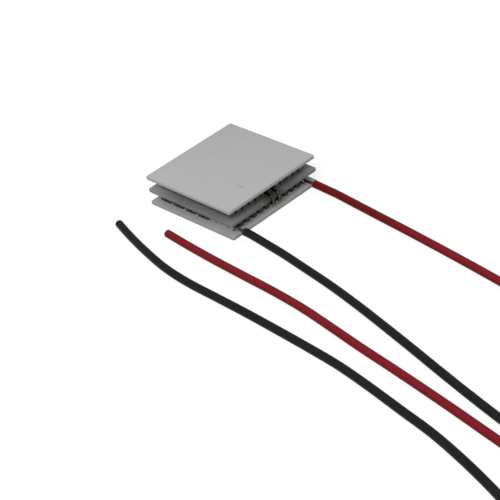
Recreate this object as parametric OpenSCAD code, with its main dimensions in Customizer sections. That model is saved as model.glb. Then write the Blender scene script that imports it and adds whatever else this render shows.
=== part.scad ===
// Two-stage thermoelectric cooling module.
// Three square ceramic plates hold two layers of semiconductor pellets. Copper tabs join the
// pellets into one series chain: half of the lower stage, the whole upper stage, then the other
// half of the lower stage. Two jumper wires at the middle of the lead side link the stages: each
// wraps round the middle plate's edge, from a tab on its upper face to a tab on its lower face.
// The two leads are soldered to the lower stage's outermost pads.
// Millimetres, +Z up. The origin is the centre of the hot face, and the leads leave towards +X.

/* [Ceramic plates] */
// Side of each square plate
plate_side = 30; // [28:0.5:40]
// Thickness of each plate
plate_t = 1; // [0.6:0.1:1.6]
// Radius at the four corners of a plate
plate_corner_r = 0.3; // [0.1:0.1:1]

/* [Pellets] */
// Pellets along each side of a stage, a multiple of four
grid_n = 12; // [4:4:12]
// Distance from the plates' edge to the outermost pellets' centres in the lower stage
lower_inset = 2.625; // [2.4:0.025:3]
// Distance from the plates' edge to the outermost pellets' centres in the upper stage
upper_inset = 2.9; // [2.4:0.1:3.2]
// Width of a square pellet
pellet_w = 1.4; // [1:0.05:1.6]
// Height of the pellets in the lower stage
lower_pellet_h = 2.1; // [1.2:0.1:3]
// Height of the pellets in the upper stage
upper_pellet_h = 2.1; // [1.2:0.1:3]

/* [Copper tabs] */
// Thickness of a tab
tab_t = 0.3; // [0.2:0.05:0.5]
// How far a tab stands out past its pellets
tab_margin = 0.1; // [0.05:0.025:0.2]
// Radius at the corners of a tab
tab_corner_r = 0.25; // [0.1:0.05:0.4]

/* [Leads] */
// Outer diameter of a lead's insulation
lead_d = 2; // [1.4:0.1:2.4]
// Diameter of a lead's tinned core
core_d = 0.8; // [0.7:0.1:1.2]
// Distance from the plate's edge to where the insulation starts
strip_gap = 1.3; // [0.3:0.1:2]
// Distance from the last pellet to the end of the core
core_end_gap = 0.55; // [0.3:0.05:0.8]

/* [Jumper wires] */
// Diameter of a jumper wire
jumper_d = 0.6; // [0.4:0.05:0.7]
// Gap between a jumper and the edge of the interstage plate
jumper_gap = 0.15; // [0.1:0.05:0.4]
// Bend radius at the wire's centre line
jumper_bend_r = 0.6; // [0.4:0.05:0.8]
// How far a jumper's upper end runs past its pad's centre, towards the pellets
jumper_tail = 0.4; // [0.2:0.05:0.5]
// Distance from the last pellet to a jumper's lower end
jumper_end_gap = 0.25; // [0.15:0.05:0.4]

/* [Solder] */
// Radius of the solder over a lead's core
lead_solder_r = 0.82; // [0.7:0.02:0.9]
// Length of that solder between its round ends
lead_solder_run = 0.6; // [0.3:0.1:0.7]
// Distance from the last pellet to that solder
lead_solder_gap = 0.1; // [0.05:0.05:0.3]
// Radius of the solder over a jumper's end
jumper_solder_r = 0.55; // [0.45:0.05:0.6]
// Length of that solder between its round ends
jumper_solder_run = 0.3; // [0.2:0.05:0.4]
// Distance from the last pellet to the solder at a jumper's lower end
jumper_solder_gap = 0.05; // [0.05:0.05:0.2]
// Height of the solder's round centre line over its pad
solder_lift = 0.22; // [0.1:0.02:0.3]

/* [Hidden] */
$fn = 48;
half_n = grid_n / 2;
half_cells = grid_n * half_n;
tab_w = pellet_w + 2 * tab_margin;

// Distance from one pellet's centre to the next in each stage
lower_pitch = (plate_side - 2 * lower_inset) / (grid_n - 1);
upper_pitch = (plate_side - 2 * upper_inset) / (grid_n - 1);

// Heights of the faces, from the hot face up
hot_top = plate_t;
lower_pellet_z = hot_top + tab_t;
lower_cold_tab_z = lower_pellet_z + lower_pellet_h;
interstage_z = lower_cold_tab_z + tab_t;
interstage_top = interstage_z + plate_t;
upper_pellet_z = interstage_top + tab_t;
upper_cold_tab_z = upper_pellet_z + upper_pellet_h;
cold_z = upper_cold_tab_z + tab_t;

// Places of the pads and of the leads' bare ends
lower_pad_x = plate_side / 2 - lower_inset;
upper_pad_x = plate_side / 2 - upper_inset;
lead_y = lower_pad_x;
lead_row_face = lower_pad_x - lower_pitch + pellet_w / 2;
core_start_x = lead_row_face + core_end_gap;
core_end_x = plate_side / 2 + strip_gap;
core_z = lower_pellet_z + core_d / 2;

// A jumper's three straight runs: out over the pad, down past the edge and back in underneath
jumper_y = upper_pitch / 2;
middle_row_face = lower_pad_x + pellet_w / 2;
jumper_top_z = upper_pellet_z + jumper_d / 2;
jumper_low_z = lower_cold_tab_z - jumper_d / 2;
jumper_start_x = upper_pad_x - jumper_tail;
jumper_end_x = middle_row_face + jumper_end_gap;
jumper_bend_x = plate_side / 2 + jumper_gap + jumper_d / 2 - jumper_bend_r;
JUMPER = [
    [jumper_bend_x - jumper_start_x, 90, jumper_bend_r],
    [jumper_top_z - jumper_low_z - 2 * jumper_bend_r, 90, jumper_bend_r],
    [jumper_bend_x - jumper_end_x, 0, 0]
];

// The solder at a jumper's lower end, and the tab that reaches as far as it does
low_solder_half = jumper_solder_run / 2 + jumper_solder_r;
low_solder_x = middle_row_face + jumper_solder_gap + low_solder_half;
jumper_tab_end_x = low_solder_x + low_solder_half;

// Routes of the two leads, each about 300 long. A point is how far along X it is from the
// plate's edge, how far along Y from its pad, and how high the lead's underside is.
start_lift = core_z - lead_d / 2;
RED_ROUTE = [
    [strip_gap, 0, start_lift], [strip_gap + 1.5, 0, start_lift],
    [5, 0.05, 0.5], [9, 0.1, 0.2], [15, -0.4, 0],
    [23, -1.3, 0], [33, -2.4, 0], [43, -3.6, 0], [53, -4.9, 0],
    [63, -6.3, 0], [73, -7.8, 0], [83, -9.3, 0], [93, -10.7, 0],
    [103, -12.1, 0], [113, -14.1, 0], [121.5, -17.5, 0], [128, -23, 0],
    [131.5, -30.3, 0], [131.2, -38.3, 0], [127.2, -45.1, 0], [120.7, -49, 0],
    [113, -50.3, 0], [104, -49.5, 0], [94, -47.9, 0], [84, -46.2, 0],
    [74, -44.6, 0], [64, -43.1, 0], [54, -41.7, 0], [44, -40.1, 0],
    [34, -38.6, 0], [24, -37.7, 0], [14, -37.2, 0], [4, -36.7, 0],
    [-6, -36, 0], [-15.6, -35.1, 0]
];
BLACK_ROUTE = [
    [strip_gap, 0, start_lift], [strip_gap + 1.5, 0, start_lift],
    [5, -0.05, 0.5], [9, -0.3, 0.2], [15, -0.9, 0],
    [23, -2.2, 0], [33, -3.9, 0], [43, -6, 0], [53, -8.4, 0],
    [63, -10.9, 0], [73, -13.5, 0], [83, -16, 0], [93, -18.3, 0],
    [101, -19.7, 0], [108.5, -20.5, 0.25], [115, -20.7, 1.2], [120.8, -21.9, 2.05],
    [125.5, -24.9, 2.05], [128, -29.5, 1.2], [127.8, -34.5, 0.35], [124.8, -38.3, 0],
    [119.5, -39.7, 0], [113, -38.5, 0], [104, -35.1, 0], [94, -31.9, 0],
    [84, -29.3, 0], [74, -27.5, 0], [64, -25.7, 0], [54, -24.2, 0],
    [44, -23.4, 0], [34, -22.8, 0], [24, -22.3, 0], [14, -22, 0],
    [4, -21.7, 0], [-5, -20.7, 0], [-14, -18.7, 0], [-22, -16.5, 0],
    [-29.5, -14.1, 0]
];
lead_sides = 8;

CERAMIC = [0.80, 0.80, 0.78];
COPPER = [0.80, 0.62, 0.48];
P_ALLOY = [0.30, 0.30, 0.31];
N_ALLOY = [0.36, 0.36, 0.35];
TIN = [0.72, 0.72, 0.70];
JUMPER_COPPER = [0.55, 0.40, 0.24];
BLACK_PVC = [0.10, 0.10, 0.11];
RED_PVC = [0.60, 0.08, 0.10];

PAIRS = [1 : half_n];

// ---- The series chain -----------------------------------------------------------------

// A cell is [column, row]. The near half is rows 0 to half_n - 1, the far half mirrors it.
function in_half(cell, far) = far ? [cell[0], grid_n - 1 - cell[1]] : cell;

// Cell k of a lower half: along X and back, row by row, from the lead's pad to the jumper's
function lower_cell(k, far) =
    let (row = floor(k / grid_n), along = k % grid_n)
    in_half([row % 2 == 0 ? grid_n - 1 - along : along, row], far);

// Cell k of an upper half: along Y and back, column by column, from the jumper's pad
function upper_cell(k, far) =
    let (column = floor(k / half_n), along = k % half_n)
    in_half([grid_n - 1 - column, column % 2 == 0 ? half_n - 1 - along : along], far);

function centre(cell, pitch) = [for (c = cell) (c - (grid_n - 1) / 2) * pitch];

function at_lead_side(cell) = cell[0] == grid_n - 1;
function is_middle_row(row) = row == half_n - 1 || row == half_n;
function is_outer_row(row) = row == 0 || row == grid_n - 1;
function is_lower_pad(cell) = at_lead_side(cell) && is_outer_row(cell[1]);
function is_upper_pad(cell) = at_lead_side(cell) && is_middle_row(cell[1]);

// ---- Plates ---------------------------------------------------------------------------

module rounded_rectangle(size, r) {
    inner = [size[0] - 2 * r, size[1] - 2 * r];
    square([size[0], inner[1]], center = true);
    square([inner[0], size[1]], center = true);
    for (x = [-1, 1], y = [-1, 1])
        translate([x * inner[0] / 2, y * inner[1] / 2]) circle(r = r);
}

module plate(z) {
    color(CERAMIC) translate([0, 0, z]) linear_extrude(plate_t)
        rounded_rectangle([plate_side, plate_side], plate_corner_r);
}

// ---- Tabs -----------------------------------------------------------------------------

// One tab over two neighbouring cells
module tab(cell_a, cell_b, pitch, z) {
    a = centre(cell_a, pitch);
    b = centre(cell_b, pitch);
    span = [for (c = [0, 1]) abs(a[c] - b[c]) + tab_w];
    translate([(a[0] + b[0]) / 2, (a[1] + b[1]) / 2, z]) linear_extrude(tab_t)
        rounded_rectangle(span, tab_corner_r);
}

// The tab over the last pellet of a lower half, which reaches out under its jumper
module jumper_tab(far) {
    last = centre(lower_cell(half_cells - 1, far), lower_pitch);
    start_x = last[0] - tab_w / 2;
    translate([(start_x + jumper_tab_end_x) / 2, last[1], lower_cold_tab_z])
        linear_extrude(tab_t)
            rounded_rectangle([jumper_tab_end_x - start_x, tab_w], tab_corner_r);
}

module lower_tab(k, far, z) {
    tab(lower_cell(k, far), lower_cell(k + 1, far), lower_pitch, z);
}

module upper_tab(k, far, z) {
    tab(upper_cell(k, far), upper_cell(k + 1, far), upper_pitch, z);
}

module lower_hot_tabs() {
    color(COPPER) for (far = [false, true], k = [0 : 2 : half_cells - 2])
        lower_tab(k, far, hot_top);
}

module lower_cold_tabs() {
    color(COPPER) for (far = [false, true]) {
        for (k = [1 : 2 : half_cells - 3]) lower_tab(k, far, lower_cold_tab_z);
        jumper_tab(far);
    }
}

module upper_hot_tabs() {
    color(COPPER) for (far = [false, true], k = [0 : 2 : half_cells - 2])
        upper_tab(k, far, interstage_top);
}

module upper_cold_tabs() {
    color(COPPER) {
        for (far = [false, true], k = [1 : 2 : half_cells - 3])
            upper_tab(k, far, upper_cold_tab_z);
        tab(upper_cell(half_cells - 1, false), upper_cell(half_cells - 1, true),
            upper_pitch, upper_cold_tab_z);
    }
}

// ---- Pellets --------------------------------------------------------------------------

module pellet(cell, pitch, z, h) {
    c = centre(cell, pitch);
    translate([c[0] - pellet_w / 2, c[1] - pellet_w / 2, z]) cube([pellet_w, pellet_w, h]);
}

// The pellets of one kind in two neighbouring rows. The kinds alternate like a chessboard,
// and parity is the colour of square that this kind stands on.
module lower_pellets(pair, parity) {
    for (row = [2 * pair - 2, 2 * pair - 1], column = [0 : grid_n - 1])
        if ((row + column) % 2 == parity && !is_lower_pad([column, row]))
            pellet([column, row], lower_pitch, lower_pellet_z, lower_pellet_h);
}

module upper_pellets(pair, parity) {
    for (row = [2 * pair - 2, 2 * pair - 1], column = [0 : grid_n - 1])
        if ((row + column) % 2 == parity && !is_upper_pad([column, row]))
            pellet([column, row], upper_pitch, upper_pellet_z, upper_pellet_h);
}

// ---- Wires at the lead side -------------------------------------------------------------

// The tinned core of a lead, lying on its pad. side is -1 for the near lead, 1 for the far one.
module core(side) {
    translate([core_start_x, side * lead_y, core_z]) rotate([0, 90, 0])
        cylinder(d = core_d, h = core_end_x - core_start_x);
}

// A round wire that starts along +X and turns down, all in one plane.
// Each step is [straight run, angle of the bend after it, bend radius].
module bent_wire(d, steps, i = 0) {
    if (i < len(steps)) {
        run = steps[i][0];
        turn = steps[i][1];
        r = steps[i][2];
        rotate([0, 90, 0]) cylinder(d = d, h = run);
        if (turn > 0) translate([run, 0, -r]) {
            rotate([-90, -90, 0]) rotate_extrude(angle = turn) translate([r, 0]) circle(d = d);
            rotate([0, turn, 0]) translate([0, 0, r]) bent_wire(d, steps, i + 1);
        }
    }
}

module jumper(side) {
    translate([jumper_start_x, side * jumper_y, jumper_top_z]) bent_wire(jumper_d, JUMPER);
}

// ---- Solder ---------------------------------------------------------------------------

// A mound of solder along X, standing on the ground
module solder_mound(r, run) {
    intersection() {
        translate([-run / 2, 0, solder_lift]) {
            rotate([0, 90, 0]) cylinder(r = r, h = run);
            sphere(r = r);
            translate([run, 0, 0]) sphere(r = r);
        }
        translate([-run / 2 - r, -r, 0]) cube([run + 2 * r, 2 * r, solder_lift + r]);
    }
}

module lead_solder(side) {
    x = lead_row_face + lead_solder_gap + lead_solder_r + lead_solder_run / 2;
    color(TIN) difference() {
        translate([x, side * lead_y, lower_pellet_z])
            solder_mound(lead_solder_r, lead_solder_run);
        core(side);
    }
}

module jumper_upper_solder(side) {
    color(TIN) difference() {
        translate([upper_pad_x, side * jumper_y, upper_pellet_z])
            solder_mound(jumper_solder_r, jumper_solder_run);
        jumper(side);
    }
}

module jumper_lower_solder(side) {
    color(TIN) difference() {
        translate([low_solder_x, side * jumper_y, lower_cold_tab_z]) rotate([180, 0, 0])
            solder_mound(jumper_solder_r, jumper_solder_run);
        jumper(side);
    }
}

// ---- Insulated leads --------------------------------------------------------------------

function unit(v) = v / norm(v);

// The direction of a route at point i
function heading(route, i) =
    unit(route[min(i + 1, len(route) - 1)] - route[max(i - 1, 0)]);

// The ring of points around a route's point i
function ring(route, i) =
    let (
        ahead = heading(route, i),
        left = unit(cross([0, 0, 1], ahead)),
        up = cross(ahead, left)
    )
    [for (s = [0 : lead_sides - 1])
        let (a = 360 * s / lead_sides)
        route[i] + lead_d / 2 * (cos(a) * left + sin(a) * up)];

module lead(route_points, side) {
    route = [for (p = route_points)
        [plate_side / 2 + p[0], side * lead_y + p[1], lead_d / 2 + p[2]]];
    last = len(route) - 1;
    points = [for (i = [0 : last]) each ring(route, i)];
    walls = [for (i = [0 : last - 1], s = [0 : lead_sides - 1])
        let (a = i * lead_sides + s, b = i * lead_sides + (s + 1) % lead_sides)
        [a, a + lead_sides, b + lead_sides, b]];
    start_cap = [for (s = [0 : lead_sides - 1]) s];
    end_cap = [for (s = [lead_sides - 1 : -1 : 0]) last * lead_sides + s];
    polyhedron(points, concat(walls, [start_cap, end_cap]));
}

// ---- Nodes ----------------------------------------------------------------------------

plate(0);  // hot_plate
plate(interstage_z);  // interstage_plate
plate(cold_z);  // cold_plate
lower_hot_tabs();
lower_cold_tabs();
upper_hot_tabs();
upper_cold_tabs();
for (q = PAIRS) {
    color(P_ALLOY) lower_pellets(q, 0);
    color(N_ALLOY) lower_pellets(q, 1);
    color(P_ALLOY) upper_pellets(q, 1);
    color(N_ALLOY) upper_pellets(q, 0);
}
color(TIN) core(-1);  // black_core
color(TIN) core(1);  // red_core
lead_solder(-1);  // black_lead_solder
lead_solder(1);  // red_lead_solder
color(JUMPER_COPPER) jumper(-1);  // entry_jumper
color(JUMPER_COPPER) jumper(1);  // return_jumper
jumper_upper_solder(-1);  // entry_jumper_upper_solder
jumper_upper_solder(1);  // return_jumper_upper_solder
jumper_lower_solder(-1);  // entry_jumper_lower_solder
jumper_lower_solder(1);  // return_jumper_lower_solder
color(BLACK_PVC) lead(BLACK_ROUTE, -1);  // black_lead
color(RED_PVC) lead(RED_ROUTE, 1);  // red_lead
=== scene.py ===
"""Looks of a two-stage thermoelectric cooling module.

Alumina plates, rows of pellets between tinned copper tabs, two jumper wires and two
insulated leads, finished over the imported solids. Metres, +Z up, in the solids' own frame.
"""

import math

import bmesh
import bpy
from mathutils import Matrix, Vector, noise


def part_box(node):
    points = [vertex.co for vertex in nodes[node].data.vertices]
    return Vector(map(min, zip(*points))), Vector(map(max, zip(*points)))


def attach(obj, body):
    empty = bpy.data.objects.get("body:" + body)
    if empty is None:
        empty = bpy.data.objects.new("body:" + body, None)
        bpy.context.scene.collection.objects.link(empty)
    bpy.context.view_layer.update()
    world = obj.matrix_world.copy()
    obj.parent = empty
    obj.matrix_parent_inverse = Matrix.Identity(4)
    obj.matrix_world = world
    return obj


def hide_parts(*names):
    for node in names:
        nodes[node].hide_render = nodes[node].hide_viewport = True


MM = 0.001

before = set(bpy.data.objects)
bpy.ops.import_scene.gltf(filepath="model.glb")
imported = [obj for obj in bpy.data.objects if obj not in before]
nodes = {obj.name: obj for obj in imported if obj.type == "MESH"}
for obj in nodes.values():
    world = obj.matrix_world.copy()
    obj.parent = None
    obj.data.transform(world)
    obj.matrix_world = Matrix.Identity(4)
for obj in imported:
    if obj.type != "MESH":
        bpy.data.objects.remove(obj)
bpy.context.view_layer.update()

# ---- Sizes of the finish ---------------------------------------------------------------

# Ceramic plates
PLATE_HALF_SIDE = 15 * MM
PLATE_EDGE = 0.13 * MM  # broken edge round both faces
SCRIBE_PITCH = 0.13 * MM  # between the laser's marks on the snapped walls
LIT_MIDDLE_HALF_SIDE = 13.3 * MM  # of the hot plate's middle, painted lighter as painted light against the shade under the stage

# Pellets, tabs and the solder between them
PELLET_EDGE = 0.08 * MM
PELLET_TOP_EDGE = 0.01 * MM
PELLET_PLATING = 0.09 * MM
SAW_PITCH = 0.07 * MM
TAB_CORNER = 0.25 * MM
TAB_EDGE = 0.06 * MM
JOINT_REACH = 0.11 * MM
JOINT_HEIGHT = 0.16 * MM
SKIRT_STEPS = ((0.14, 0.5), (0.24, 0.18), (0.62, -0.1))  # share of height, reach left
ROW_PAIRS = 6  # pairs of rows in a stage, each with its own node for each kind of pellet

# Solder mounds
MOUND_SIDES = 48
MOUND_STEPS = 14
MOUND_RUN_OUT = 0.16  # share of the mound's reach that is a thin run-out at its foot

# Jumper wires
JUMPER_BEND = 0.6 * MM
JUMPER_IN_SOLDER = 0.2 * MM
JUMPER_TIP = 0.06 * MM

# Leads
LEAD_D = 2 * MM
ROUTE_STEPS = 8  # points of the smooth curve between two points of a route
STRAND_D = 0.16 * MM
STRAND_LAY = 9 * MM
STRAND_NEST = 0.97  # how far the rings of strands sink into each other
CUT_LIP = 0.25 * MM  # rounding of the insulation's cut ends
CUT_DEPTH = 0.7 * MM  # how deep the bore is open at a cut end
CUT_STRANDS_OUT = 0.12 * MM

WIRE_SIDES = 24
SAME_POINT = 0.002 * MM
SAME_LEVEL = 0.001 * MM
WELD = 0.0005 * MM

# Routes of the leads, as in the solids, in millimetres: how far along X from the plate's
# edge, how far along Y from the lead's pad, and how high the lead's underside is
RED_ROUTE = [
    (1.3, 0, 0.7), (2.8, 0, 0.7), (5, 0.05, 0.5), (9, 0.1, 0.2), (15, -0.4, 0),
    (23, -1.3, 0), (33, -2.4, 0), (43, -3.6, 0), (53, -4.9, 0),
    (63, -6.3, 0), (73, -7.8, 0), (83, -9.3, 0), (93, -10.7, 0),
    (103, -12.1, 0), (113, -14.1, 0), (121.5, -17.5, 0), (128, -23, 0),
    (131.5, -30.3, 0), (131.2, -38.3, 0), (127.2, -45.1, 0), (120.7, -49, 0),
    (113, -50.3, 0), (104, -49.5, 0), (94, -47.9, 0), (84, -46.2, 0),
    (74, -44.6, 0), (64, -43.1, 0), (54, -41.7, 0), (44, -40.1, 0),
    (34, -38.6, 0), (24, -37.7, 0), (14, -37.2, 0), (4, -36.7, 0),
    (-6, -36, 0), (-15.6, -35.1, 0),
]
BLACK_ROUTE = [
    (1.3, 0, 0.7), (2.8, 0, 0.7), (5, -0.05, 0.5), (9, -0.3, 0.2), (15, -0.9, 0),
    (23, -2.2, 0), (33, -3.9, 0), (43, -6, 0), (53, -8.4, 0),
    (63, -10.9, 0), (73, -13.5, 0), (83, -16, 0), (93, -18.3, 0),
    (101, -19.7, 0), (108.5, -20.5, 0.25), (115, -20.7, 1.2), (120.8, -21.9, 2.05),
    (125.5, -24.9, 2.05), (128, -29.5, 1.2), (127.8, -34.5, 0.35), (124.8, -38.3, 0),
    (119.5, -39.7, 0), (113, -38.5, 0), (104, -35.1, 0), (94, -31.9, 0),
    (84, -29.3, 0), (74, -27.5, 0), (64, -25.7, 0), (54, -24.2, 0),
    (44, -23.4, 0), (34, -22.8, 0), (24, -22.3, 0), (14, -22, 0),
    (4, -21.7, 0), (-5, -20.7, 0), (-14, -18.7, 0), (-22, -16.5, 0),
    (-29.5, -14.1, 0),
]

# ---- Camera ----------------------------------------------------------------------------

CAMERA_AZIMUTH = 50.68
CAMERA_ELEVATION = 34.08
CAMERA_ROLL = -10.20
CAMERA_DISTANCE = 400 * MM
CAMERA_LENS = 114.94
CAMERA_AIM = Vector((8.607, -5.371, -10.873)) * MM


def place_camera():
    """The camera, which looks down on the lead side from its near corner."""
    azimuth, elevation, roll = (
        math.radians(a) for a in (CAMERA_AZIMUTH, CAMERA_ELEVATION, CAMERA_ROLL)
    )
    forward = Vector(
        (
            -math.sin(azimuth) * math.cos(elevation),
            math.cos(azimuth) * math.cos(elevation),
            -math.sin(elevation),
        )
    )
    level = Vector((math.cos(azimuth), math.sin(azimuth), 0))
    upright = level.cross(forward)
    right = math.cos(roll) * level + math.sin(roll) * upright
    up = math.cos(roll) * upright - math.sin(roll) * level
    turn = Matrix((right, up, -forward)).transposed()
    data = bpy.data.cameras.new("camera")
    data.lens = CAMERA_LENS
    data.sensor_width = 36
    data.clip_start = 10 * MM
    camera = bpy.data.objects.new("camera", data)
    camera.matrix_world = (
        Matrix.Translation(CAMERA_AIM - CAMERA_DISTANCE * forward) @ turn.to_4x4()
    )
    bpy.context.scene.collection.objects.link(camera)
    bpy.context.scene.camera = camera


# ---- Building helpers ------------------------------------------------------------------


def new_piece(name, mesh, material, replaces=()):
    """A finished piece of the module, riding on its one body."""
    piece = bpy.data.objects.new(name, mesh)
    bpy.context.scene.collection.objects.link(piece)
    mesh.materials.clear()
    mesh.materials.append(material)
    for face in mesh.polygons:
        face.use_smooth = True
        face.material_index = 0
    if replaces:
        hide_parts(*replaces)
    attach(piece, "root")
    return piece


def sharpen(mesh, degrees):
    """Keeps the edges over this angle crisp on a smooth-shaded mesh."""
    mesh.set_sharp_from_angle(angle=math.radians(degrees))


def middle(node):
    """The middle of a node's box."""
    low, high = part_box(node)
    return (low + high) / 2


def solids_in(node):
    """The box of each separate solid in a node, as (lowest, highest) corners."""
    shape = bmesh.new()
    shape.from_mesh(nodes[node].data)
    bmesh.ops.remove_doubles(shape, verts=shape.verts, dist=SAME_POINT)
    left = set(shape.verts)
    boxes = []
    while left:
        reached = [left.pop()]
        low = reached[0].co.copy()
        high = reached[0].co.copy()
        while reached:
            vertex = reached.pop()
            for axis in range(3):
                low[axis] = min(low[axis], vertex.co[axis])
                high[axis] = max(high[axis], vertex.co[axis])
            for edge in vertex.link_edges:
                other = edge.other_vert(vertex)
                if other in left:
                    left.remove(other)
                    reached.append(other)
        boxes.append((low, high))
    shape.free()
    return sorted(boxes, key=lambda b: (round(b[0].y, 5), round(b[0].x, 5)))


def smooth_route(points, per_span):
    """Points along a smooth curve through the given ones."""
    last = len(points) - 1
    made = []
    for i in range(last):
        p0, p1 = points[max(i - 1, 0)], points[i]
        p2, p3 = points[i + 1], points[min(i + 2, last)]
        for k in range(per_span):
            t = k / per_span
            made.append(
                0.5
                * (
                    2 * p1
                    + (p2 - p0) * t
                    + (2 * p0 - 5 * p1 + 4 * p2 - p3) * t**2
                    + (3 * p1 - p0 - 3 * p2 + p3) * t**3
                )
            )
    made.append(points[last].copy())
    return made


def frames_along(path):
    """(distance, point, side, up) at each point of a path, turned as little as possible."""
    made = []
    distance = 0
    up = Vector((0, 0, 1))
    for i, point in enumerate(path):
        ahead = (path[min(i + 1, len(path) - 1)] - path[max(i - 1, 0)]).normalized()
        up = (up - ahead * up.dot(ahead)).normalized()
        if i:
            distance += (point - path[i - 1]).length
        made.append((distance, point, up.cross(ahead), up))
    return made


def frame_at(frames, distance):
    """(point, side, up) at a distance along a path."""
    for before, after in zip(frames, frames[1:]):
        if distance <= after[0]:
            t = (distance - before[0]) / (after[0] - before[0])
            return [before[k].lerp(after[k], t) for k in (1, 2, 3)]
    return list(frames[-1][1:])


def join_rings(shape, rings):
    """Walls between each ring of corners and the next."""
    for one, two in zip(rings, rings[1:]):
        for k in range(len(one)):
            n = (k + 1) % len(one)
            shape.faces.new((one[k], one[n], two[n], two[k]))


def round_sweep(name, path, rings):
    """A closed round skin along a path. Each ring is (distance along the path, radius)."""
    frames = frames_along(path)
    shape = bmesh.new()
    angles = [2 * math.pi * k / WIRE_SIDES for k in range(WIRE_SIDES)]
    circles = []
    for distance, radius in rings:
        point, side, up = frame_at(frames, distance)
        circles.append(
            [
                shape.verts.new(
                    point + radius * math.cos(a) * side + radius * math.sin(a) * up
                )
                for a in angles
            ]
        )
    join_rings(shape, circles)
    shape.faces.new(list(reversed(circles[0])))
    shape.faces.new(circles[-1])
    bmesh.ops.recalc_face_normals(shape, faces=shape.faces)
    mesh = bpy.data.meshes.new(name)
    shape.to_mesh(mesh)
    shape.free()
    return mesh


# ---- Geometry trees --------------------------------------------------------------------


def new_tree(name, sizes):
    """A geometry tree with a geometry input, these named lengths and a material input."""
    tree = bpy.data.node_groups.new(name, "GeometryNodeTree")
    tree.interface.new_socket("Geometry", in_out="INPUT", socket_type="NodeSocketGeometry")
    for label in sizes:
        tree.interface.new_socket(label, in_out="INPUT", socket_type="NodeSocketFloat")
    tree.interface.new_socket("Material", in_out="INPUT", socket_type="NodeSocketMaterial")
    tree.interface.new_socket("Geometry", in_out="OUTPUT", socket_type="NodeSocketGeometry")
    return tree, tree.nodes.new("NodeGroupInput"), tree.nodes.new("NodeGroupOutput")


def add(tree, kind, links=(), **settings):
    """A node with its settings and its inputs, each a value or another node's output."""
    node = tree.nodes.new(kind)
    for key, value in settings.items():
        setattr(node, key, value)
    for socket, value in dict(links).items():
        if isinstance(value, bpy.types.NodeSocket):
            tree.links.new(value, node.inputs[socket])
        else:
            node.inputs[socket].default_value = value
    return node


def maths(tree, operation, *values):
    """The output of one sum, each value a number or another node's output."""
    return add(tree, "ShaderNodeMath", enumerate(values), operation=operation).outputs[0]


def finish_tree(tree, geometry, given, output):
    """Ends a tree in real geometry with its material."""
    real = add(tree, "GeometryNodeRealizeInstances", {0: geometry})
    painted = add(
        tree,
        "GeometryNodeSetMaterial",
        {"Geometry": real.outputs[0], "Material": given.outputs["Material"]},
    )
    tree.links.new(painted.outputs[0], output.inputs[0])


def grow(tree, start, values, material):
    """The plain mesh that a tree makes of the start mesh."""
    holder = bpy.data.objects.new("holder", start)
    bpy.context.scene.collection.objects.link(holder)
    modifier = holder.modifiers.new("grow", "NODES")
    modifier.node_group = tree
    for item in tree.interface.items_tree:
        if item.in_out == "INPUT" and item.name in values:
            modifier[item.identifier] = values[item.name]
        if item.in_out == "INPUT" and item.name == "Material":
            modifier[item.identifier] = material
    bpy.context.view_layer.update()
    evaluated = holder.evaluated_get(bpy.context.evaluated_depsgraph_get())
    mesh = bpy.data.meshes.new_from_object(evaluated)
    bpy.data.objects.remove(holder)
    return mesh


def points_mesh(points, turned=None):
    """A mesh of loose points, with how far each is turned about Z."""
    mesh = bpy.data.meshes.new("points")
    mesh.from_pydata([tuple(p) for p in points], [], [])
    turn = mesh.attributes.new("turn", "FLOAT", "POINT")
    for k, value in enumerate(turned or [0] * len(points)):
        turn.data[k].value = value
    return mesh


def rounded_face(tree, length, width, corner):
    """A flat face with round corners, as a node's output."""
    outline = add(
        tree,
        "GeometryNodeCurvePrimitiveQuadrilateral",
        {"Width": length, "Height": width},
        mode="RECTANGLE",
    )
    rounded = add(
        tree,
        "GeometryNodeFilletCurve",
        {"Curve": outline.outputs[0], "Count": 4, "Radius": corner},
        mode="POLY",
    )
    return add(
        tree, "GeometryNodeFillCurve", {"Curve": rounded.outputs[0]}, mode="NGONS"
    ).outputs[0]


def raise_face(tree, geometry, face, height, shrink=None):
    """Extrudes a face straight up, and then draws its top in by a scale."""
    raised = add(
        tree,
        "GeometryNodeExtrudeMesh",
        {"Mesh": geometry, "Selection": face, "Offset Scale": height},
        mode="FACES",
    )
    if shrink is None:
        return raised.outputs["Mesh"], raised.outputs["Top"]
    drawn = add(
        tree,
        "GeometryNodeScaleElements",
        {
            "Geometry": raised.outputs["Mesh"],
            "Selection": raised.outputs["Top"],
            "Scale": shrink,
        },
        domain="FACE",
    )
    return drawn.outputs[0], raised.outputs["Top"]


def closed(tree, base, raised):
    """Joins a raised face to its own underside, and welds the seam."""
    under = add(tree, "GeometryNodeFlipFaces", {0: base})
    joined = add(tree, "GeometryNodeJoinGeometry")
    tree.links.new(raised, joined.inputs[0])
    tree.links.new(under.outputs[0], joined.inputs[0])
    return add(
        tree,
        "GeometryNodeMergeByDistance",
        {"Geometry": joined.outputs[0], "Distance": WELD},
    ).outputs[0]


def on_points(tree, given, shape):
    """Sets a shape on each start point, turned by the point's own turn."""
    turn = add(tree, "GeometryNodeInputNamedAttribute", {"Name": "turn"}, data_type="FLOAT")
    spin = add(tree, "ShaderNodeCombineXYZ", {"Z": turn.outputs[0]})
    return add(
        tree,
        "GeometryNodeInstanceOnPoints",
        {
            "Points": given.outputs["Geometry"],
            "Instance": shape,
            "Rotation": spin.outputs[0],
        },
    ).outputs[0]


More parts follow.
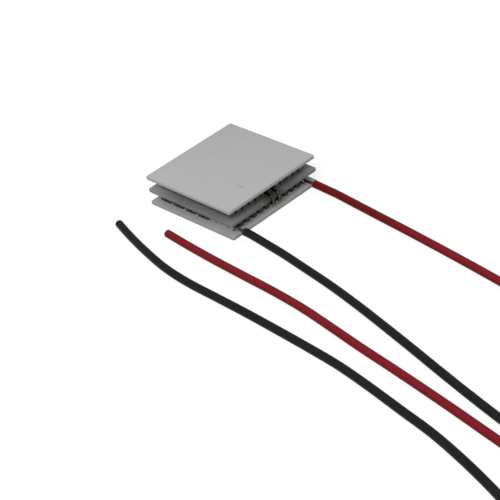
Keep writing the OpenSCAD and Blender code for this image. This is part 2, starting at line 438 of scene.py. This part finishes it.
def bar_tree():
    """A flat bar with round corners and a softened top edge on each point."""
    sizes = ("Length", "Width", "Height", "Corner", "Edge")
    tree, given, output = new_tree("bars", sizes)
    length, width, height, corner, edge = (given.outputs[s] for s in sizes)
    face = rounded_face(tree, length, width, corner)
    wall, top = raise_face(tree, face, True, maths(tree, "SUBTRACT", height, edge))
    drawn_in = maths(tree, "SUBTRACT", 1, maths(tree, "DIVIDE", edge, length))
    bar, _ = raise_face(tree, wall, top, edge, drawn_in)
    finish_tree(tree, on_points(tree, given, closed(tree, face, bar)), given, output)
    return tree


def joint_tree():
    """A low concave skirt of solder round each pellet's foot, standing on each point."""
    sizes = ("Width", "Corner", "Reach", "Height")
    tree, given, output = new_tree("solder skirts", sizes)
    width, corner, reach, height = (given.outputs[s] for s in sizes)
    foot = maths(tree, "ADD", width, maths(tree, "MULTIPLY", reach, 2))
    face = rounded_face(tree, foot, foot, maths(tree, "ADD", corner, reach))
    skirt, top, side = face, True, foot
    for rise, share in SKIRT_STEPS:
        left = maths(tree, "MULTIPLY", reach, 2 * share)
        narrower = maths(tree, "ADD", width, left)
        skirt, top = raise_face(
            tree,
            skirt,
            top,
            maths(tree, "MULTIPLY", height, rise),
            maths(tree, "DIVIDE", narrower, side),
        )
        side = narrower
    finish_tree(tree, on_points(tree, given, closed(tree, face, skirt)), given, output)
    return tree


def strand_tree():
    """A twisted bundle of strands along Z: one, a ring of six and a ring of twelve."""
    sizes = ("Length", "Strand", "Lay")
    tree, given, output = new_tree("strands", sizes)
    length, strand, lay = (given.outputs[s] for s in sizes)
    section = add(
        tree,
        "GeometryNodeCurvePrimitiveCircle",
        {"Resolution": 10, "Radius": maths(tree, "MULTIPLY", strand, 0.5)},
        mode="RADIUS",
    )
    bundle = add(tree, "GeometryNodeJoinGeometry")
    for ring, count in ((0, 1), (1, 6), (2, 12)):
        radius = maths(tree, "MULTIPLY", strand, STRAND_NEST * ring)
        helix = add(
            tree,
            "GeometryNodeCurveSpiral",
            {
                "Resolution": 40,
                "Rotations": maths(tree, "DIVIDE", length, lay),
                "Start Radius": radius,
                "End Radius": radius,
                "Height": length,
            },
        )
        skin = add(
            tree,
            "GeometryNodeCurveToMesh",
            {
                "Curve": helix.outputs[0],
                "Profile Curve": section.outputs[0],
                "Fill Caps": True,
            },
        )
        circle = add(
            tree, "GeometryNodeMeshCircle", {"Vertices": max(count, 3), "Radius": 0.0}
        )
        index = add(tree, "GeometryNodeInputIndex")
        angle = maths(tree, "MULTIPLY", index.outputs[0], 2 * math.pi / count)
        spin = add(tree, "ShaderNodeCombineXYZ", {"Z": angle})
        used = add(
            tree,
            "FunctionNodeCompare",
            {0: index.outputs[0], 1: count - 0.5},
            data_type="FLOAT",
            operation="LESS_THAN",
        )
        placed = add(
            tree,
            "GeometryNodeInstanceOnPoints",
            {
                "Points": circle.outputs[0],
                "Selection": used.outputs[0],
                "Instance": skin.outputs[0],
                "Rotation": spin.outputs[0],
            },
        )
        tree.links.new(placed.outputs[0], bundle.inputs[0])
    finish_tree(tree, bundle.outputs[0], given, output)
    return tree


# ---- Shader groups ---------------------------------------------------------------------


def new_group(name, inputs, outputs):
    """A shader group with these (name, kind, default) inputs and (name, kind) outputs."""
    group = bpy.data.node_groups.new(name, "ShaderNodeTree")
    for label, kind, default in inputs:
        socket = group.interface.new_socket(label, in_out="INPUT", socket_type=kind)
        socket.default_value = default
    for label, kind in outputs:
        group.interface.new_socket(label, in_out="OUTPUT", socket_type=kind)
    return group, group.nodes.new("NodeGroupInput"), group.nodes.new("NodeGroupOutput")


def coordinates(tree):
    """Where a point is on the module, in metres."""
    return add(tree, "ShaderNodeTexCoord").outputs["Object"]


def axes(tree, vector=None):
    """The X, Y and Z outputs of a vector, or of where a point is on the module."""
    if vector is None:
        vector = coordinates(tree)
    return add(tree, "ShaderNodeSeparateXYZ", {0: vector}).outputs


def grain_group():
    """Fine grain over a soft cloudiness: a value round 0.5 and a height."""
    group, given, output = new_group(
        "grain",
        [
            ("Size", "NodeSocketFloat", 0.2),
            ("Cloud size", "NodeSocketFloat", 6.0),
            ("Cloud share", "NodeSocketFloat", 0.4),
        ],
        [("Tone", "NodeSocketFloat"), ("Height", "NodeSocketFloat")],
    )
    place = coordinates(group)
    fine, cloud = (
        add(
            group,
            "ShaderNodeTexNoise",
            {
                "Vector": place,
                "Scale": maths(group, "DIVIDE", 1 / MM, given.outputs[size]),
                "Detail": detail,
                "Roughness": roughness,
            },
        ).outputs["Fac"]
        for size, detail, roughness in (("Size", 3, 0.6), ("Cloud size", 4, 0.55))
    )
    tone = add(
        group,
        "ShaderNodeMix",
        {"Factor": given.outputs["Cloud share"], "A": fine, "B": cloud},
        data_type="FLOAT",
    )
    group.links.new(tone.outputs[0], output.inputs["Tone"])
    group.links.new(fine, output.inputs["Height"])
    return group


def blotch_group():
    """A soft, ragged patch round a point, 1 at its heart and 0 outside."""
    group, given, output = new_group(
        "blotch",
        [
            ("Centre", "NodeSocketVector", (0, 0, 0)),
            ("Stretch", "NodeSocketVector", (1, 1, 1)),
            ("Radius", "NodeSocketFloat", 1.0),
            ("Ragged", "NodeSocketFloat", 0.3),
        ],
        [("Mask", "NodeSocketFloat")],
    )
    place = coordinates(group)
    away = add(
        group,
        "ShaderNodeVectorMath",
        {0: place, 1: given.outputs["Centre"]},
        operation="SUBTRACT",
    ).outputs[0]
    scaled = add(
        group,
        "ShaderNodeVectorMath",
        {0: away, 1: given.outputs["Stretch"]},
        operation="MULTIPLY",
    ).outputs[0]
    length = add(
        group, "ShaderNodeVectorMath", {0: scaled}, operation="LENGTH"
    ).outputs["Value"]
    ripples_across = 2.2
    scale = maths(group, "DIVIDE", ripples_across / MM, given.outputs["Radius"])
    ripple = add(
        group, "ShaderNodeTexNoise", {"Vector": place, "Scale": scale, "Detail": 3.0}
    ).outputs["Fac"]
    ripple = maths(group, "SUBTRACT", ripple, 0.5)
    ragged = maths(group, "MULTIPLY", ripple, given.outputs["Ragged"])
    radius = maths(group, "MULTIPLY", given.outputs["Radius"], MM)
    share = maths(group, "ADD", maths(group, "DIVIDE", length, radius), ragged)
    mask = add(
        group,
        "ShaderNodeMapRange",
        {"Value": share, "From Min": 1.0, "From Max": 0.25, "To Min": 0.0, "To Max": 1.0},
        interpolation_type="SMOOTHSTEP",
    )
    group.links.new(mask.outputs[0], output.inputs["Mask"])
    return group


def rim_group():
    """How near a point of a plate is to the plate's outer edge, 1 at the edge."""
    group, given, output = new_group(
        "rim",
        [
            ("Half side", "NodeSocketFloat", PLATE_HALF_SIDE),
            ("Width", "NodeSocketFloat", 0.5),
        ],
        [("Mask", "NodeSocketFloat"), ("Wall", "NodeSocketFloat")],
    )
    place = axes(group)
    across = [maths(group, "ABSOLUTE", place[axis]) for axis in ("X", "Y")]
    out = maths(group, "MAXIMUM", *across)
    inside = maths(group, "SUBTRACT", given.outputs["Half side"], out)
    mask = add(
        group,
        "ShaderNodeMapRange",
        {
            "Value": maths(group, "DIVIDE", inside, MM),
            "From Min": 0.0,
            "From Max": given.outputs["Width"],
            "To Min": 1.0,
            "To Max": 0.0,
        },
        interpolation_type="SMOOTHSTEP",
    )
    facing = axes(group, add(group, "ShaderNodeNewGeometry").outputs["Normal"])
    wall = maths(group, "LESS_THAN", maths(group, "ABSOLUTE", facing["Z"]), 0.5)
    group.links.new(mask.outputs[0], output.inputs["Mask"])
    group.links.new(wall, output.inputs["Wall"])
    return group


# ---- Materials -------------------------------------------------------------------------


def new_material(name):
    """A material, its tree and its one shader."""
    material = bpy.data.materials.new(name)
    material.use_nodes = True
    tree = material.node_tree
    return material, tree, tree.nodes["Principled BSDF"]


def use_group(tree, group, **values):
    """A shader group placed in a material, with this material's own values."""
    node = add(tree, "ShaderNodeGroup", node_tree=group)
    for label, value in values.items():
        socket = node.inputs[label.replace("_", " ").capitalize()]
        socket.default_value = value
    return node


def mixed(tree, factor, one, two):
    """A colour between two, each a colour or another node's output."""
    return add(
        tree,
        "ShaderNodeMix",
        {"Factor": factor, 6: solid_colour(one), 7: solid_colour(two)},
        data_type="RGBA",
    ).outputs[2]


def solid_colour(value):
    """A colour's socket value, or the output that gives it."""
    return value if isinstance(value, bpy.types.NodeSocket) else (*value, 1.0)


def ranged(tree, value, low, high):
    """A value from 0 to 1 spread between two levels."""
    return add(
        tree, "ShaderNodeMapRange", {"Value": value, "To Min": low, "To Max": high}
    ).outputs[0]


def waves(tree, distance, pitch):
    """Even marks along a distance, this far apart."""
    return maths(tree, "SINE", maths(tree, "MULTIPLY", distance, 2 * math.pi / pitch))


def bump(tree, shader, height, strength, depth):
    """Raises a surface by a height, with its depth in millimetres."""
    node = add(
        tree,
        "ShaderNodeBump",
        {"Height": height, "Strength": strength, "Distance": depth * MM},
    )
    tree.links.new(node.outputs[0], shader.inputs["Normal"])


def shade(colour, factor):
    """A colour made lighter or darker."""
    return tuple(c * factor for c in colour)


def stain(centre, radius, share, colour, stretch=(1, 1, 1)):
    """A soft patch on the module: its place and radius in millimetres, and its cover.

    stretch divides the radius along each axis.
    """
    return tuple(c * MM for c in centre), stretch, radius, share, colour


def stained(tree, groups, colour, stains):
    """A colour under these stains, and how much of it they leave bare."""
    bare = 1
    for centre, stretch, radius, share, patch_colour in stains:
        patch = use_group(tree, groups["blotch"], ragged=0.5, radius=radius)
        patch.inputs["Centre"].default_value = centre
        patch.inputs["Stretch"].default_value = stretch
        cover = maths(tree, "MULTIPLY", patch.outputs["Mask"], share)
        cover = add(tree, "ShaderNodeClamp", {0: cover}).outputs[0]
        colour = mixed(tree, cover, colour, patch_colour)
        bare = maths(tree, "MULTIPLY", bare, maths(tree, "SUBTRACT", 1, cover))
    return colour, bare


def set_metallic(tree, shader, metallic, bare, stains):
    """How metallic a surface is, which only its bare part is where it has stains."""
    if stains:
        tree.links.new(maths(tree, "MULTIPLY", bare, metallic), shader.inputs["Metallic"])
    else:
        shader.inputs["Metallic"].default_value = metallic


def alumina(name, tone, groups, stains=(), painted_light_tone=None):
    """Matt fired ceramic: fine grain, faint clouds, snapped walls and a rubbed rim.

    The given middle tone is painted light: the hot plate's middle, shaded by the stage
    above, is painted this lighter tone.
    """
    material, tree, shader = new_material(name)
    grain = use_group(tree, groups["grain"], size=0.14, cloud_size=7.0, cloud_share=0.55)
    rim = use_group(tree, groups["rim"], width=0.35)
    colour = mixed(tree, grain.outputs["Tone"], shade(tone, 0.93), shade(tone, 1.07))
    rubbed = maths(tree, "MULTIPLY", rim.outputs["Mask"], 0.22)
    colour = mixed(tree, rubbed, colour, shade(tone, 0.82))
    colour, _ = stained(tree, groups, colour, stains)
    # Painted light: the hot plate's middle, in the shade under the stage, is painted
    # lighter.
    if painted_light_tone:
        lit_middle_mask = use_group(tree, groups["rim"], half_side=LIT_MIDDLE_HALF_SIDE, width=0.3)
        colour = mixed(tree, lit_middle_mask.outputs["Mask"], painted_light_tone, colour)
    tree.links.new(colour, shader.inputs["Base Color"])
    tree.links.new(
        ranged(tree, grain.outputs["Tone"], 0.52, 0.72), shader.inputs["Roughness"]
    )
    shader.inputs["Specular IOR Level"].default_value = 0.4
    place = axes(tree)
    along = maths(tree, "ADD", place["X"], place["Y"])
    marks = waves(tree, along, SCRIBE_PITCH)
    on_walls = maths(tree, "MULTIPLY", rim.outputs["Wall"], 0.5)
    marks = maths(tree, "MULTIPLY", marks, on_walls)
    height = maths(tree, "ADD", grain.outputs["Height"], marks)
    bump(tree, shader, height, 0.25, 0.02)
    return material


def alloy(name, tone, low, high, groups, stains=()):
    """Sawn thermoelectric alloy with nickel-plated ends, between two heights."""
    material, tree, shader = new_material(name)
    grain = use_group(tree, groups["grain"], size=0.09, cloud_size=1.6, cloud_share=0.5)
    place = axes(tree)
    half = (high - low) / 2
    off = maths(tree, "ABSOLUTE", maths(tree, "SUBTRACT", place["Z"], low + half))
    plated = maths(tree, "GREATER_THAN", off, half - PELLET_PLATING)
    plated = maths(tree, "MULTIPLY", plated, 0.6)
    colour = mixed(tree, grain.outputs["Tone"], shade(tone, 0.6), shade(tone, 1.4))
    colour = mixed(tree, plated, colour, (0.30, 0.29, 0.27))
    colour, bare = stained(tree, groups, colour, stains)
    tree.links.new(colour, shader.inputs["Base Color"])
    tree.links.new(
        ranged(tree, grain.outputs["Tone"], 0.38, 0.62), shader.inputs["Roughness"]
    )
    set_metallic(tree, shader, 0.55, bare, stains)
    saw = maths(tree, "MULTIPLY", waves(tree, place["Z"], SAW_PITCH), 0.3)
    height = maths(tree, "ADD", grain.outputs["Height"], saw)
    bump(tree, shader, height, 0.35, 0.015)
    return material


def metal(name, bright, dull, groups, size, roughness, depth=0.02, metallic=1.0, stains=()):
    """A metal whose tarnish follows the grain, with grain size and depth in millimetres."""
    material, tree, shader = new_material(name)
    grain = use_group(
        tree, groups["grain"], size=size, cloud_size=size * 7, cloud_share=0.6
    )
    spread = ranged(tree, grain.outputs["Tone"], -0.6, 1.6)
    tarnish = add(tree, "ShaderNodeClamp", {0: spread}).outputs[0]
    colour, bare = stained(tree, groups, mixed(tree, tarnish, bright, dull), stains)
    tree.links.new(colour, shader.inputs["Base Color"])
    tree.links.new(ranged(tree, tarnish, *roughness), shader.inputs["Roughness"])
    set_metallic(tree, shader, metallic, bare, stains)
    bump(tree, shader, grain.outputs["Height"], 0.3, depth)
    return material


def soft_plastic(name, tone, groups, stains=()):
    """Extruded wire insulation: a slight skin, rubbed patches and painted shade that
    darkens its underside.
    """
    material, tree, shader = new_material(name)
    grain = use_group(tree, groups["grain"], size=0.5, cloud_size=9.0, cloud_share=0.6)
    colour = mixed(tree, grain.outputs["Tone"], shade(tone, 0.8), shade(tone, 1.2))
    # Painted shade: the lead is painted darker towards its underside, by height above the
    # floor.
    painted_underside_shade = add(
        tree,
        "ShaderNodeMapRange",
        {
            "Value": maths(tree, "DIVIDE", axes(tree)["Z"], LEAD_D),
            "From Min": 0.85,
            "From Max": 0.1,
            "To Min": 0.0,
            "To Max": 1.0,
        },
        interpolation_type="SMOOTHSTEP",
    )
    colour = mixed(tree, painted_underside_shade.outputs[0], colour, shade(tone, 0.35))
    colour, _ = stained(tree, groups, colour, stains)
    tree.links.new(colour, shader.inputs["Base Color"])
    tree.links.new(
        ranged(tree, grain.outputs["Tone"], 0.32, 0.48), shader.inputs["Roughness"]
    )
    shader.inputs["Specular IOR Level"].default_value = 0.05
    bump(tree, shader, grain.outputs["Height"], 0.12, 0.05)
    return material


# ---- Pieces ----------------------------------------------------------------------------


def plate(node, material):
    """A ceramic plate with its fired corners and a fine broken edge."""
    mesh = nodes[node].data.copy()
    shape = bmesh.new()
    shape.from_mesh(mesh)
    bmesh.ops.remove_doubles(shape, verts=shape.verts, dist=SAME_POINT)
    bmesh.ops.dissolve_limit(
        shape, angle_limit=math.radians(0.5), verts=shape.verts, edges=shape.edges
    )
    rims = [
        e for e in shape.edges if abs(e.verts[0].co.z - e.verts[1].co.z) < SAME_LEVEL
    ]
    bmesh.ops.bevel(
        shape, geom=rims, offset=PLATE_EDGE, segments=3, profile=0.5, affect="EDGES"
    )
    bmesh.ops.recalc_face_normals(shape, faces=shape.faces)
    shape.to_mesh(mesh)
    shape.free()
    mesh.name = node + "_ceramic"
    new_piece(node + "_ceramic", mesh, material, [node])
    sharpen(mesh, 35)


def foot_of(low, high):
    """The middle of a box's underside."""
    return Vector(((low.x + high.x) / 2, (low.y + high.y) / 2, low.z))


def tabs(node, tree, material):
    """The copper tabs of one face, flat bars of one width with softened edges."""
    by_length = {}
    for low, high in solids_in(node):
        size = high - low
        along_x = size.x > size.y
        length, width = (size.x, size.y) if along_x else (size.y, size.x)
        height = size.z
        feet, turned = by_length.setdefault(round(length / MM, 2), ([], []))
        feet.append(foot_of(low, high))
        turned.append(0 if along_x else math.pi / 2)
    shape = bmesh.new()
    for length, (feet, turned) in by_length.items():
        values = {
            "Length": length * MM,
            "Width": width,
            "Height": height,
            "Corner": TAB_CORNER,
            "Edge": TAB_EDGE,
        }
        shape.from_mesh(grow(tree, points_mesh(feet, turned), values, material))
    mesh = bpy.data.meshes.new(node + "_plated")
    shape.to_mesh(mesh)
    shape.free()
    new_piece(node + "_plated", mesh, material, [node])
    sharpen(mesh, 30)


def pellets(node, tree, material):
    """The pellets of one node, each a sawn block."""
    boxes = solids_in(node)
    size = boxes[0][1] - boxes[0][0]
    feet = [foot_of(low, high) for low, high in boxes]
    values = {
        "Length": size.x,
        "Width": size.y,
        "Height": size.z,
        "Corner": PELLET_EDGE,
        "Edge": PELLET_TOP_EDGE,
    }
    mesh = grow(tree, points_mesh(feet), values, material)
    new_piece(node + "_sawn", mesh, material, [node])
    sharpen(mesh, 30)
    return feet, size


def solder_skirts(name, tree, feet, size, level, hanging, material):
    """The solder that wets each pellet's foot, or its head where it hangs."""
    values = {
        "Width": size.x,
        "Corner": PELLET_EDGE,
        "Reach": JOINT_REACH,
        "Height": JOINT_HEIGHT,
    }
    starts = [Vector((p.x, p.y, 0)) for p in feet]
    mesh = grow(tree, points_mesh(starts), values, material)
    if hanging:
        mesh.transform(Matrix.Scale(-1, 4, Vector((0, 0, 1))))
        mesh.flip_normals()
    mesh.transform(Matrix.Translation((0, 0, level)))
    new_piece(name, mesh, material)


def stranded_core(node, name, tree, material):
    """A lead's bare core: twisted tinned strands, lying along X."""
    low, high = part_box(node)
    values = {"Length": high.x - low.x, "Strand": STRAND_D, "Lay": STRAND_LAY}
    mesh = grow(tree, points_mesh([]), values, material)
    centre = middle(node)
    mesh.transform(Matrix.Rotation(math.pi / 2, 4, "Y"))
    mesh.transform(Matrix.Translation((low.x, centre.y, centre.z)))
    return new_piece(name, mesh, material, [node])


def solder_mound(node, material, lumps, hanging=False):
    """A smooth mound of solder that has run out at its foot, over a node's solder."""
    low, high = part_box(node)
    centre = middle(node)
    reach_x, reach_y = (high.x - low.x) / 2, (high.y - low.y) / 2
    foot_z, height = (high.z, low.z - high.z) if hanging else (low.z, high.z - low.z)
    shape = bmesh.new()
    rings = []
    for j in range(MOUND_STEPS):
        rise = j / MOUND_STEPS
        dome, run_out = math.sqrt(1 - rise**2), (1 - rise) ** 6
        spread = dome * (1 - MOUND_RUN_OUT) + MOUND_RUN_OUT * run_out
        ring = []
        for k in range(MOUND_SIDES):
            angle = 2 * math.pi * k / MOUND_SIDES
            place = Vector((math.cos(angle), math.sin(angle), rise))
            wobble = 1 + lumps * (noise.noise(place * 1.7 + centre * 900)) * (1 - rise)
            ring.append(
                shape.verts.new(
                    (
                        centre.x + reach_x * spread * wobble * place.x,
                        centre.y + reach_y * spread * wobble * place.y,
                        foot_z + height * rise,
                    )
                )
            )
        rings.append(ring)
    crown = shape.verts.new((centre.x, centre.y, foot_z + height))
    join_rings(shape, rings)
    for k in range(MOUND_SIDES):
        shape.faces.new((rings[-1][k], rings[-1][(k + 1) % MOUND_SIDES], crown))
    shape.faces.new(list(reversed(rings[0])))
    bmesh.ops.recalc_face_normals(shape, faces=shape.faces)
    mesh = bpy.data.meshes.new(node + "_mound")
    shape.to_mesh(mesh)
    shape.free()
    new_piece(node + "_mound", mesh, material, [node])
    sharpen(mesh, 60)


def jumper_line(node, radius):
    """The centre line of a jumper: out over the plate's edge, down and back in below."""
    low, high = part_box(node)
    y = middle(node).y
    bend_x = high.x - radius - JUMPER_BEND
    top, bottom = high.z - radius, low.z + radius
    solder_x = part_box(node + "_lower_solder")[0].x
    line = [Vector((low.x, y, top))]
    steps = 8
    for start, centre_z in ((0, top - JUMPER_BEND), (90, bottom + JUMPER_BEND)):
        for k in range(steps + 1):
            a = math.radians(start + 90 * k / steps)
            x = bend_x + JUMPER_BEND * math.sin(a)
            line.append(Vector((x, y, centre_z + JUMPER_BEND * math.cos(a))))
    line.append(Vector((solder_x + JUMPER_IN_SOLDER, y, bottom)))
    return line


def jumper(node, material):
    """A bare jumper wire with rounded cut ends."""
    radius = (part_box(node)[1].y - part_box(node)[0].y) / 2
    line = jumper_line(node, radius)
    frames = frames_along(line)
    length = frames[-1][0]
    tip = JUMPER_TIP
    rings = [(0, radius - tip), (tip, radius)]
    rings += [(f[0], radius) for f in frames if tip < f[0] < length - tip]
    rings += [(length - tip, radius), (length, radius - tip)]
    mesh = round_sweep(node + "_wire", line, rings)
    new_piece(node + "_wire", mesh, material, [node])
    sharpen(mesh, 50)


def lead(node, core, route, material, strand_material, strands):
    """An insulated lead with plain cut ends, and the strands that show in its far one."""
    pad = Vector((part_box("hot_plate")[1].x, middle(core).y, LEAD_D / 2))
    points = [pad + Vector(place) * MM for place in route]
    path = smooth_route(points, ROUTE_STEPS)
    for point in path:
        point.z = max(point.z, LEAD_D / 2)
    frames = frames_along(path)
    length = frames[-1][0]
    radius = LEAD_D / 2
    bore = (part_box(core)[1].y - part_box(core)[0].y) / 2
    start = [(CUT_DEPTH, bore), (0, bore), (0, radius - CUT_LIP), (CUT_LIP, radius)]
    end = [(length - distance, size) for distance, size in reversed(start)]
    walls = [(f[0], radius) for f in frames if CUT_LIP < f[0] < length - CUT_LIP]
    name = node + "_insulation"
    mesh = round_sweep(name, path, start + walls + end)
    piece = new_piece(name, mesh, material, [node])
    sharpen(mesh, 50)
    values = {
        "Length": CUT_DEPTH + CUT_STRANDS_OUT,
        "Strand": STRAND_D,
        "Lay": STRAND_LAY,
    }
    bundle = grow(strands, points_mesh([]), values, strand_material)
    ahead = (path[-1] - path[-2]).normalized()
    turn = ahead.to_track_quat("Z", "Y").to_matrix().to_4x4()
    bundle.transform(Matrix.Translation(path[-1] - CUT_DEPTH * ahead) @ turn)
    cut = new_piece(node + "_cut_strands", bundle, strand_material)


# ---- Studio ----------------------------------------------------------------------------

FLOOR_HALF_SIDE = 2.0
SURROUND_LIGHT = 0.5
KEY_PLACE = (0.675, -1.05, 1.25)
KEY_SIZE = 0.875
KEY_POWER = 18.75


def floor():
    """A plain white floor that keeps shadows and sends only a little light back up."""
    half = FLOOR_HALF_SIDE
    mesh = bpy.data.meshes.new("floor")
    mesh.from_pydata(
        [(-half, -half, 0), (half, -half, 0), (half, half, 0), (-half, half, 0)],
        [],
        [(0, 1, 2, 3)],
    )
    ground = bpy.data.objects.new("floor", mesh)
    bpy.context.scene.collection.objects.link(ground)
    material = bpy.data.materials.new("white_floor")
    material.use_nodes = True
    tree = material.node_tree
    tree.nodes.remove(tree.nodes["Principled BSDF"])
    lit = add(tree, "ShaderNodeBsdfDiffuse", {"Color": (0.32, 0.32, 0.32, 1)})
    glow = add(tree, "ShaderNodeEmission", {"Color": (1, 1, 1, 1), "Strength": 0.76})
    bright = add(tree, "ShaderNodeAddShader", {0: lit.outputs[0], 1: glow.outputs[0]})
    matt = add(tree, "ShaderNodeBsdfDiffuse", {"Color": (0.22, 0.22, 0.22, 1)})
    rays = add(tree, "ShaderNodeLightPath").outputs
    mirrored = maths(tree, "MAXIMUM", rays["Is Glossy Ray"], rays["Is Transmission Ray"])
    seen = maths(tree, "MAXIMUM", rays["Is Camera Ray"], mirrored)
    mix = add(
        tree, "ShaderNodeMixShader", {0: seen, 1: matt.outputs[0], 2: bright.outputs[0]}
    )
    tree.links.new(mix.outputs[0], tree.nodes["Material Output"].inputs[0])
    mesh.materials.append(material)


def soft_light(name, place, aim, size, power):
    """A square lamp of this size, turned to a point."""
    data = bpy.data.lights.new(name, "AREA")
    data.shape = "SQUARE"
    data.size = size
    data.energy = power
    lamp = bpy.data.objects.new(name, data)
    place, aim = Vector(place), Vector(aim)
    turn = (aim - place).to_track_quat("-Z", "Y").to_matrix().to_4x4()
    lamp.matrix_world = Matrix.Translation(place) @ turn
    bpy.context.scene.collection.objects.link(lamp)


def studio():
    """An even white surround and one soft lamp on the camera's side."""
    floor()
    world = bpy.data.worlds.new("studio")
    world.use_nodes = True
    background = world.node_tree.nodes["Background"]
    background.inputs["Color"].default_value = (1, 1, 1, 1)
    background.inputs["Strength"].default_value = SURROUND_LIGHT
    bpy.context.scene.world = world
    soft_light("key", KEY_PLACE, (0, 0, 0), KEY_SIZE, KEY_POWER)
    bpy.context.scene.view_settings.view_transform = "Standard"


# ---- The module ------------------------------------------------------------------------

# Stains of flux and sealant on the pieces, a smudge, and darker patches on the interstage
# plate and the red lead
SMUDGE = stain((9.5, -5.4, 8.4), 1.5, 0.3, (0.26, 0.26, 0.25), (1, 1.6, 1))
SEALANT = stain((9, -13.4, 1.5), 5, 4, (0.38, 0.37, 0.37), (1, 4, 1.3))
# Darker patches over the interstage plate's front and lead sides.
DARKER_INTERSTAGE_PATCHES = [
    stain((2.5, -15, 4.2), 16, 0.8, (0.15, 0.148, 0.14), (0.85, 1, 1)),
    stain((15, 0, 4.2), 16, 0.8, (0.09, 0.088, 0.086), (1, 0.85, 1)),
]
FLUX = [stain((14.8, y, 4.3), 3.2, 0.85, (0.045, 0.042, 0.034)) for y in (-1.1, 1.1)]
# A darker patch on the red lead's run near the module.
DARKER_RED_NEAR_MODULE = stain((19, 12.4, 1.5), 42, 0.6, (0.11, 0.006, 0.006))

# The metals: bright and tarnished colours, grain size, roughness and the rest
METALS = {
    "tinned_strands": {
        "bright": (0.38, 0.38, 0.37),
        "dull": (0.10, 0.095, 0.09),
        "size": 0.2,
        "roughness": (0.3, 0.5),
    },
    "solder": {
        "bright": (0.60, 0.60, 0.58),
        "dull": (0.30, 0.29, 0.28),
        "size": 0.35,
        "roughness": (0.22, 0.45),
        "depth": 0.03,
    },
    # Solder of the pellets' joints: dull, and also painted darker as shade in the gaps
    # between the plates.
    "dull_shaded_solder": {
        "bright": (0.16, 0.16, 0.16),
        "dull": (0.05, 0.05, 0.05),
        "size": 0.3,
        "roughness": (0.5, 0.7),
        "metallic": 0.5,
        "stains": [SEALANT],
    },
    "tarnished_plating": {
        "bright": (0.10, 0.09, 0.07),
        "dull": (0.03, 0.027, 0.024),
        "size": 0.3,
        "roughness": (0.45, 0.65),
        "metallic": 0.6,
        "stains": [SEALANT],
    },
    # Plating of the upper stage's tabs, painted lighter than the lower stage's: painted
    # light against the deep shade under the cold plate.
    "painted_light_plating": {
        "bright": (0.22, 0.205, 0.185),
        "dull": (0.08, 0.075, 0.07),
        "size": 0.3,
        "roughness": (0.45, 0.65),
        "metallic": 0.4,
    },
    "tarnished_copper": {
        "bright": (0.12, 0.105, 0.075),
        "dull": (0.02, 0.019, 0.014),
        "size": 0.35,
        "roughness": (0.2, 0.4),
    },
}


def leads(groups, strands, tinned):
    """Both leads, each with the bare core that its pad's solder holds."""
    black = soft_plastic("black_insulation", (0.017, 0.017, 0.0175), groups)
    red = soft_plastic("red_insulation", (0.225, 0.013, 0.021), groups, [DARKER_RED_NEAR_MODULE])
    for side, route, insulation in (("black", BLACK_ROUTE, black), ("red", RED_ROUTE, red)):
        core = stranded_core(side + "_core", side + "_core_strands", strands, tinned)
        lead(side + "_lead", side + "_core", route, insulation, tinned, strands)


def plates(groups):
    """The three ceramic plates."""
    cold = alumina("cold_alumina", (0.464, 0.469, 0.464), groups, [SMUDGE])
    between = alumina("interstage_alumina", (0.30, 0.298, 0.29), groups, DARKER_INTERSTAGE_PATCHES + FLUX)
    # The hot plate's lighter middle is painted light against the shade under the stage.
    hot = alumina("hot_alumina", (0.395, 0.385, 0.383), groups, painted_light_tone=(0.75, 0.74, 0.72))
    plate("cold_plate", cold)
    plate("interstage_plate", between)
    plate("hot_plate", hot)


def stage(name, bars, skirts, plating, joint_solder, groups, tone, stains):
    """The tabs, pellets and solder joints of one stage. tone lightens its alloys as painted
    light, against the shade between the plates.
    """
    tabs(name + "_hot_tabs", bars, plating)
    tabs(name + "_cold_tabs", bars, plating)
    low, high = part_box(name + "_p_pellets_1")
    feet = []
    p_tone, n_tone = shade((0.050, 0.050, 0.054), tone), shade((0.070, 0.069, 0.066), tone)
    finish = {
        "p": alloy(name + "_p_alloy", p_tone, low.z, high.z, groups, stains),
        "n": alloy(name + "_n_alloy", n_tone, low.z, high.z, groups, stains),
    }
    for kind, material in finish.items():
        for pair in range(1, ROW_PAIRS + 1):
            node = f"{name}_{kind}_pellets_{pair}"
            made, size = pellets(node, bars, material)
            feet += made
    solder_skirts(name + "_hot_joints", skirts, feet, size, low.z, False, joint_solder)
    solder_skirts(name + "_cold_joints", skirts, feet, size, high.z, True, joint_solder)


def wiring(solder, copper):
    """The solder of the leads, and the jumpers with theirs."""
    for side in ("black", "red"):
        solder_mound(side + "_lead_solder", solder, 0.25)
    for way in ("entry", "return"):
        jumper(way + "_jumper", copper)
        for level in ("upper", "lower"):
            solder_mound(f"{way}_jumper_{level}_solder", solder, 0.2, level == "lower")


def main():
    place_camera()
    groups = {"grain": grain_group(), "blotch": blotch_group(), "rim": rim_group()}
    bars, skirts, strands = bar_tree(), joint_tree(), strand_tree()
    metals = {name: metal(name, groups=groups, **look) for name, look in METALS.items()}
    leads(groups, strands, metals["tinned_strands"])
    plates(groups)
    for name, plating, tone, stains in (
        ("lower", metals["tarnished_plating"], 1, [SEALANT]),
        # The upper stage's lighter plating and alloys (tone 3) are painted light against
        # the deep shade under the cold plate.
        ("upper", metals["painted_light_plating"], 3, []),
    ):
        stage(name, bars, skirts, plating, metals["dull_shaded_solder"], groups, tone, stains)
    wiring(metals["solder"], metals["tarnished_copper"])

    studio()


main()
